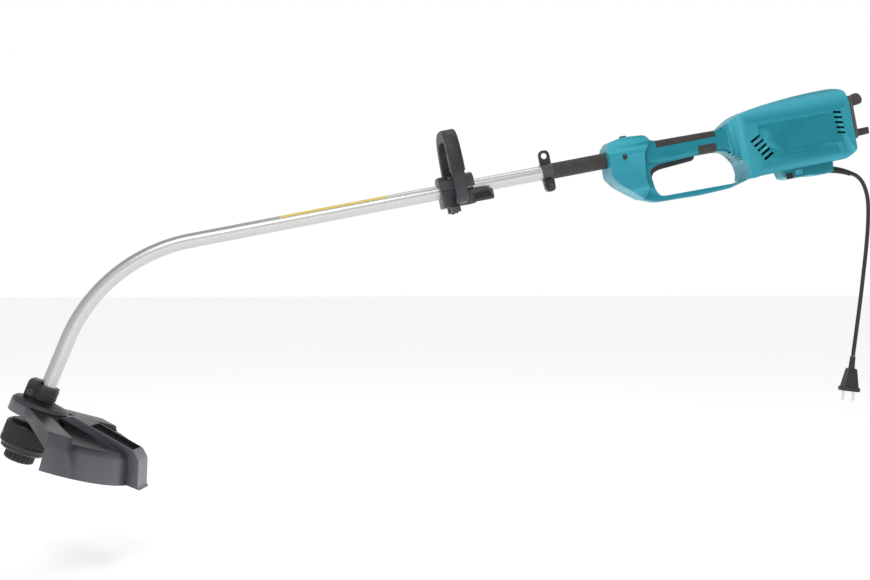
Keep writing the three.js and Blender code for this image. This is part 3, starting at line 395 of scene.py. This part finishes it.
# the bent tube, smooth round its bend, with lines drawn along it
TUBE_R, TUBE_BORE_R = 0.012, 0.0105
TUBE_REAR, TUBE_FOOT = 0.150, -0.102
TUBE_SIDES = 48
STRAIGHT_STEPS, BEND_STEPS, FOOT_STEPS = 24, 64, 5


def tube_line():
    """The tube's centre line: (distance, point, normal in the plane of the bend)."""
    rows = []
    run = TUBE_REAR - BEND_X
    for i in range(STRAIGHT_STEPS + 1):
        x = TUBE_REAR - run * i / STRAIGHT_STEPS
        rows.append((TUBE_REAR - x, shaft(x, 0, 0), shaft(x, 0, 1) - shaft(x, 0, 0)))
    for i in range(1, BEND_STEPS + 1):
        t = BEND * i / BEND_STEPS
        at = (BEND_X - BEND_R * math.sin(t), -BEND_R * (1 - math.cos(t)))
        out = shaft(at[0] - math.sin(t), 0, at[1] + math.cos(t)) - shaft(at[0], 0, at[1])
        rows.append((run + BEND_R * t, shaft(at[0], 0, at[1]), out))
    end = run + BEND_R * BEND
    for i in range(1, FOOT_STEPS + 1):
        h = TUBE_FOOT * i / FOOT_STEPS
        rows.append((end - h, head(0, 0, h), head(-1, 0, h) - head(0, 0, h)))
    return rows


def tube():
    rows = tube_line()
    vertices, faces, spots = [], [], []
    for radius in (TUBE_R, TUBE_BORE_R):
        for distance, centre, normal in rows:
            vertices += ring(centre, normal, ACROSS, radius, TUBE_SIDES)
            spots += [(distance, k / TUBE_SIDES) for k in range(TUBE_SIDES)]
    count = len(rows)
    for layer in (0, 1):
        for i in range(count - 1):
            start = (layer * count + i) * TUBE_SIDES
            faces += band(start, start + TUBE_SIDES, TUBE_SIDES)
    for i in (0, count - 1):
        faces += band(i * TUBE_SIDES, (count + i) * TUBE_SIDES, TUBE_SIDES)
    piece = new_piece("tube_skin", vertices, faces, FINISH["aluminium_tube"], "shaft")
    layer = piece.data.uv_layers.new(name="along")
    for face in piece.data.polygons:
        wraps = {spots[v][1] for v in face.vertices}
        for corner, v in zip(face.loop_indices, face.vertices):
            along, around = spots[v]
            layer.data[corner].uv = (along, 1.0 if around == 0 and max(wraps) > 0.5 else around)
    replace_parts(piece, "shaft_tube")


tube()


LABEL_FROM, LABEL_TO = -0.459, -0.278
LABEL_TURN, LABEL_HALF = math.radians(-27), math.radians(22)
LABEL_UNDER, LABEL_OVER = 0.00002, 0.00016


def label():
    """A plain yellow strip, curved round the top of the tube."""
    vertices, faces = [], []
    across, along = 10, 24
    for radius in (TUBE_R + LABEL_UNDER, TUBE_R + LABEL_OVER):
        for i in range(along + 1):
            x = LABEL_FROM + (LABEL_TO - LABEL_FROM) * i / along
            for k in range(across + 1):
                angle = LABEL_TURN + LABEL_HALF * (2 * k / across - 1)
                vertices.append(shaft(x, radius * math.sin(angle), radius * math.cos(angle)))
    row = across + 1
    layer = row * (along + 1)
    for base in (0, layer):
        for i in range(along):
            for k in range(across):
                a = base + i * row + k
                faces.append((a, a + 1, a + row + 1, a + row))
    rim = [(side + i * row, side + (i + 1) * row) for side in (0, across) for i in range(along)]
    rim += [(end + k, end + k + 1) for end in (0, along * row) for k in range(across)]
    faces += [(a, b, layer + b, layer + a) for a, b in rim]
    new_piece("tube_label", vertices, faces, LABEL, "shaft")


label()


# the line drum, with fine upright ribs, and the fluted tap knob
def mm(profile):
    return [(r / 1000, h / 1000) for r, h in profile]


def notched(angle, count, depth, steep):
    """How far the radius is cut back, for a count of rounded ribs with steep sides."""
    wave = math.cos(count * angle)
    return depth * (0.5 - 0.5 * max(-1, min(1, wave * steep)))


DRUM_RIBS = 63
DRUM_WALL = (9, 10)


def ribbed(angle, radius, i):
    return radius - notched(angle, DRUM_RIBS, 0.0013, 1.8) if i in DRUM_WALL else radius


drum = turned(
    "ribbed_drum",
    mm([
        (5.3, -143), (5.3, -146), (30, -146), (37, -151), (37, -180), (39, -180), (39.3, -179.2), (39.4, -177.4),
        (38.9, -176.4), (39.5, -175.6), (39.5, -150), (38.9, -149), (38.6, -147.7), (36.4, -145.9), (32, -143),
    ]),
    504, head, FINISH["black_plastic"], "spool_head", ribbed,
)
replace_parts(drum, "drum_case")

KNOB_FLUTES = 20
KNOB_RIM = 0.0215


def fluted(angle, radius, i):
    return radius - notched(angle, KNOB_FLUTES, 0.0016, 1.6) if radius >= KNOB_RIM else radius


knob = turned(
    "fluted_knob",
    mm([
        (5.4, -202), (5.4, -185.3), (23.2, -185.3), (23.9, -186), (24.0, -188.6), (24.3, -189.2), (24.3, -201.4),
        (24.0, -203.2), (23.1, -204.6), (21.4, -205.4), (18.5, -206.4), (14, -207.3), (9, -207.5), (5, -207.5),
        (4.2, -206.8), (0.01, -206.6), (0.01, -202),
    ]),
    240, head, FINISH["black_plastic"], "tap", fluted,
)
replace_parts(knob, "tap_knob")

# ribs on the clamp collar of the bearing case, in millimetres
COLLAR_R, RIB_FOOT, RIB_STEP = 19, -101.5, 4.2
for i in range(5):
    h = RIB_FOOT + RIB_STEP * i
    rise = 0.9 if i else 0.5
    r = COLLAR_R + rise
    turned(
        f"collar_rib_{i + 1}",
        mm([(18.9, h - 1.1), (r - 0.3, h - 0.9), (r, h - 0.4), (r, h + 0.4), (r - 0.3, h + 0.9), (18.9, h + 1.1)]),
        64, head, FINISH["black_plastic"], "shaft",
    )

# the ring's outer edge and the key's size, as shares of the screw head's radius
RING_SHARE, KEY_SHARE = 0.82, 0.50


def socket(node):
    """A raised ring in the near face of a screw head that lies along Y, and in it a near-black hexagon painted as
    the shade inside its hex socket.
    """
    low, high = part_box(node)
    radius = (high.x - low.x) / 2
    middle = ((low.x + high.x) / 2, (low.z + high.z) / 2)

    def place(a, b, h):
        return Vector((middle[0] + a, low.y + h, middle[1] + b))

    rim, bore = radius * RING_SHARE, radius * KEY_SHARE
    raised = [
        (rim, 0.00005), (rim, -0.0001), (rim * 0.94, -0.0003),
        (bore * 1.1, -0.0003), (bore, -0.00015), (bore, 0.00005),
    ]
    turned(f"{node}_ring", raised, 36, place, BLACKENED, "shaft")
    # a thin near-black hexagon: painted shade standing in for the depth of the hex socket
    key = [(bore * 0.96, 0.00004), (bore * 0.96, -0.00008), (0.00005, -0.00004), (0.00005, 0.00004)]
    turned(f"{node}_socket", key, 6, place, RECESS_SHADE, "shaft")


for node in ("case_bolt", "collar_screw", "hanger_screw"):
    socket(node)


# the small window in the cord block, and a near-black plate painted as the shade of its recess, on the near side
SIDE_Y = 0.020
WINDOW = [(0.418, -0.076), (0.436, -0.076), (0.436, -0.089), (0.418, -0.089)]
WINDOW_BORDER = 0.0017
SOCKET_SHADE = [(0.403, -0.081), (0.415, -0.081), (0.415, -0.091), (0.403, -0.091)]


def inset(corners, by):
    cx = sum(x for x, _ in corners) / len(corners)
    cz = sum(z for _, z in corners) / len(corners)
    return [(x - math.copysign(by, x - cx), z - math.copysign(by, z - cz)) for x, z in corners]


def rounded(corners, radius, steps=4):
    out = []
    count = len(corners)
    for i, (x, z) in enumerate(corners):
        before, after = corners[i - 1], corners[(i + 1) % count]
        a = Vector((before[0] - x, before[1] - z)).normalized()
        b = Vector((after[0] - x, after[1] - z)).normalized()
        for k in range(steps + 1):
            t = k / steps
            out.append((
                x + radius * (a.x * (1 - t) ** 2 + b.x * t ** 2),
                z + radius * (a.y * (1 - t) ** 2 + b.y * t ** 2),
            ))
    return out


def framed(name, corners, depth, material, border=None):
    """A thin plate with rounded corners on the near side of the housing, or a frame if border is given."""
    loops = [rounded(corners, 0.0012)]
    if border:
        loops.append(rounded(inset(corners, border), 0.0006))
    vertices, faces = [], []
    for loop in loops:
        for y in (-SIDE_Y, -(SIDE_Y + depth)):
            vertices += [shaft(x, y, z) for x, z in loop]
    n = len(loops[0])
    for start in range(0, len(vertices), 2 * n):
        faces += band(start, start + n, n)
    if border:
        for start in (0, n):
            faces += band(start, start + 2 * n, n)
    else:
        faces += [tuple(range(n)), tuple(range(n, 2 * n))]
    new_piece(name, vertices, faces, material, "shaft")


framed("cord_block_frame", WINDOW, 0.0007, DARK_TEAL, border=WINDOW_BORDER)
framed("cord_block_pane", inset(WINDOW, WINDOW_BORDER), 0.0003, FINISH["teal_plastic"])
# a thin near-black plate: painted shade where the recess is
framed("cord_block_socket_shade", SOCKET_SHADE, 0.0004, RECESS_SHADE)

# the ringed strain relief
RELIEF_EXIT = shaft(0.493, 0, -0.0888)
RELIEF_LENGTH = 0.038
RELIEF_BEND, RELIEF_DROP = math.radians(18), math.radians(12)
RELIEF_STEPS = 114
RELIEF_R, RELIEF_TAPER = 0.0062, 0.0018
RING_EVERY, GROOVE_FROM, GROOVE_TO = 0.0046, 0.0030, 0.0042


def relief():
    stations = []
    radius = RELIEF_LENGTH / RELIEF_BEND
    for i in range(RELIEF_STEPS + 1):
        along = i / RELIEF_STEPS
        turn = RELIEF_BEND * along
        u, w = radius * math.sin(turn), radius * (math.cos(turn) - 1)
        x = u * math.cos(RELIEF_DROP) + w * math.sin(RELIEF_DROP)
        z = -u * math.sin(RELIEF_DROP) + w * math.cos(RELIEF_DROP)
        slope = RELIEF_DROP + turn
        centre = RELIEF_EXIT + shaft(x, 0, z) - shaft(0, 0, 0)
        normal = shaft(math.sin(slope), 0, math.cos(slope)) - shaft(0, 0, 0)
        taper = RELIEF_R - RELIEF_TAPER * along
        within = (along * RELIEF_LENGTH) % RING_EVERY
        groove = 0.0010 if GROOVE_FROM < within < GROOVE_TO and 0.10 < along < 0.93 else 0
        edge = 0.0005 if along in (0, 1) else 0
        stations.append((centre, normal, taper - groove - edge))
    return swept("strain_relief", stations, 28, FINISH["cord_rubber"], "shaft")


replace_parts(relief(), "cord_guard")

# the cord: row frame, metres
CORD_R = 0.0035
CORD_ROUTE = [
    (0.5479, -0.0224), (0.5526, -0.0240), (0.5576, -0.0263), (0.5625, -0.0298), (0.5667, -0.0340),
    (0.5702, -0.0389), (0.5732, -0.0447), (0.5760, -0.0522), (0.5783, -0.0609), (0.5799, -0.0708),
    (0.5807, -0.0818), (0.5808, -0.0950), (0.5802, -0.1130), (0.5786, -0.1370), (0.5759, -0.1650),
    (0.5726, -0.1940), (0.5691, -0.2240), (0.5653, -0.2540), (0.5614, -0.2830), (0.5573, -0.3130),
    (0.5532, -0.3422),
]


def between(a, b, low, high, at):
    """The point at a value, on the line that has a at low and b at high."""
    return a * ((high - at) / (high - low)) + b * ((at - low) / (high - low))


def smooth_route(points, steps):
    """Centripetal spline through the points, as close straight steps."""
    line = [Vector((x, 0, z)) for x, z in points]
    line = [2 * line[0] - line[1], *line, 2 * line[-1] - line[-2]]
    spans = (((0, 1), (1, 2), (2, 3)), ((0, 2), (1, 3)), ((1, 2),))
    out = []
    for i in range(1, len(line) - 2):
        p = line[i - 1:i + 3]
        t = [0.0]
        for a, b in zip(p, p[1:]):
            t.append(t[-1] + math.sqrt((b - a).length))
        for k in range(steps):
            at = t[1] + (t[2] - t[1]) * k / steps
            level = p
            for pairs in spans:
                level = [
                    between(level[j], level[j + 1], t[low], t[high], at)
                    for j, (low, high) in enumerate(pairs)
                ]
            out.append(level[0])
    out.append(line[-2])
    return out


def cord():
    data = bpy.data.curves.new("mains_cord", "CURVE")
    data.dimensions = "3D"
    data.bevel_depth = CORD_R
    data.bevel_resolution = 5
    data.use_fill_caps = True
    route = smooth_route(CORD_ROUTE, 5)
    spline = data.splines.new("POLY")
    spline.points.add(len(route) - 1)
    for point, at in zip(spline.points, route):
        point.co = (*at, 1)
    spline.use_smooth = True
    data.materials.append(FINISH["cord_rubber"])
    piece = bpy.data.objects.new("mains_cord", data)
    bpy.context.scene.collection.objects.link(piece)
    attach(piece, "shaft")
    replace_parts(piece, "power_cord")
    length = sum((b - a).length for a, b in zip(route, route[1:]))
    tuple(route[0])


cord()


# ---- springs ----
COIL_STEPS = 28


def coil(name, node, place, body, radius, wire, foot, top, turns):
    """A round-wire spring from foot to top."""
    stations = []
    steps = int(turns * COIL_STEPS)
    for i in range(steps + 1):
        angle = 2 * math.pi * i / COIL_STEPS
        height = foot + wire + (top - foot - 2 * wire) * i / steps
        centre = place(radius * math.cos(angle), radius * math.sin(angle), height)
        outward = place(2 * radius * math.cos(angle), 2 * radius * math.sin(angle), height) - centre
        stations.append((centre, outward.normalized(), wire))
    up = (place(0, 0, 1) - place(0, 0, 0)).normalized()
    piece = swept(name, stations, 8, FINISH["steel"], body, side=up)
    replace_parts(piece, node)
    tuple(place(0, 0, top))
    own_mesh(piece)


coil("tap_coil", "tap_spring", head, "spool_head", 0.0074, 0.0008, -0.1845, -0.153, 5)
coil(
    "trigger_coil", "trigger_spring", lambda a, b, h: shaft(0.205 + a, b, h), "shaft",
    0.0033, 0.00055, -0.018, -0.0098, 3,
)


# ---- floor and light ----
FLOOR_HALF, FLOOR_BELOW, FLOOR_GLOW = 30, 0.12, 0.43
FLOOR_Z = cad_box[0].z - FLOOR_BELOW


def floor_finish(colour, rough):
    """A pale floor, with a very faint mottling and a little glow of its own."""
    n = Nodes("floor_finish")
    pale = n.ranged(n.noise(1.5), 0.3, 0.7, 0, 1)
    n.set(Base_Color=n.mix(pale, colour, tuple(c * 0.99 for c in colour)), Roughness=rough)
    n.set(Emission_Color=(1, 1, 1), Emission_Strength=FLOOR_GLOW)
    return n.material


floor_mesh = bpy.data.meshes.new("floor")
floor_corners = [(x * FLOOR_HALF, y * FLOOR_HALF, FLOOR_Z) for x, y in ((-1, -1), (1, -1), (1, 1), (-1, 1))]
floor_mesh.from_pydata(floor_corners, [], [(0, 1, 2, 3)])
floor_mesh.materials.append(floor_finish((0.93, 0.93, 0.94), 0.9))
floor = bpy.data.objects.new("floor", floor_mesh)
bpy.context.scene.collection.objects.link(floor)

bpy.context.scene.view_settings.view_transform = "Standard"
world = bpy.data.worlds.new("studio")
world.use_nodes = True
sky = world.node_tree


def sky_node(kind, **values):
    node = sky.nodes.new(kind)
    for key, value in values.items():
        node.inputs[key.replace("_", " ")].default_value = value
    return node


# seen directly the studio is white; as light it is bright overhead and dim round the horizon
seen = sky.nodes["Background"]
seen.inputs["Color"].default_value = (1, 1, 1, 1)
cast = sky_node("ShaderNodeBackground", Color=(1, 1, 1, 1))
axes = sky_node("ShaderNodeSeparateXYZ")
level = sky_node("ShaderNodeMapRange", From_Min=0.0, From_Max=0.9, To_Min=0.80, To_Max=0.42)
rays = sky_node("ShaderNodeLightPath")
either = sky_node("ShaderNodeMixShader")
coords = sky_node("ShaderNodeTexCoord")
sky.links.new(coords.outputs["Generated"], axes.inputs[0])
sky.links.new(axes.outputs["Z"], level.inputs["Value"])
sky.links.new(level.outputs["Result"], cast.inputs["Strength"])
sky.links.new(rays.outputs["Is Camera Ray"], either.inputs[0])
sky.links.new(cast.outputs[0], either.inputs[1])
sky.links.new(seen.outputs[0], either.inputs[2])
sky.links.new(either.outputs[0], sky.nodes["World Output"].inputs["Surface"])
bpy.context.scene.world = world


# name, place, size and power in watts
LAMPS = (
    ("key", (-1.0, -2.0, 1.9), (1.6, 1.2), 24),
    ("top", (0.2, 0.3, 2.2), (2.6, 0.8), 12),
    ("low_front", (0.3, -2.6, -0.45), (2.6, 0.35), 3),
)
for name, at, size, watts in LAMPS:
    data = bpy.data.lights.new(name, "AREA")
    data.shape = "RECTANGLE"
    data.size, data.size_y = size
    data.energy = watts
    lamp = bpy.data.objects.new(name, data)
    bpy.context.scene.collection.objects.link(lamp)
    lamp.location = at
    lamp.rotation_mode = "QUATERNION"
    lamp.rotation_quaternion = (TARGET - Vector(at)).to_track_quat("-Z", "Y")
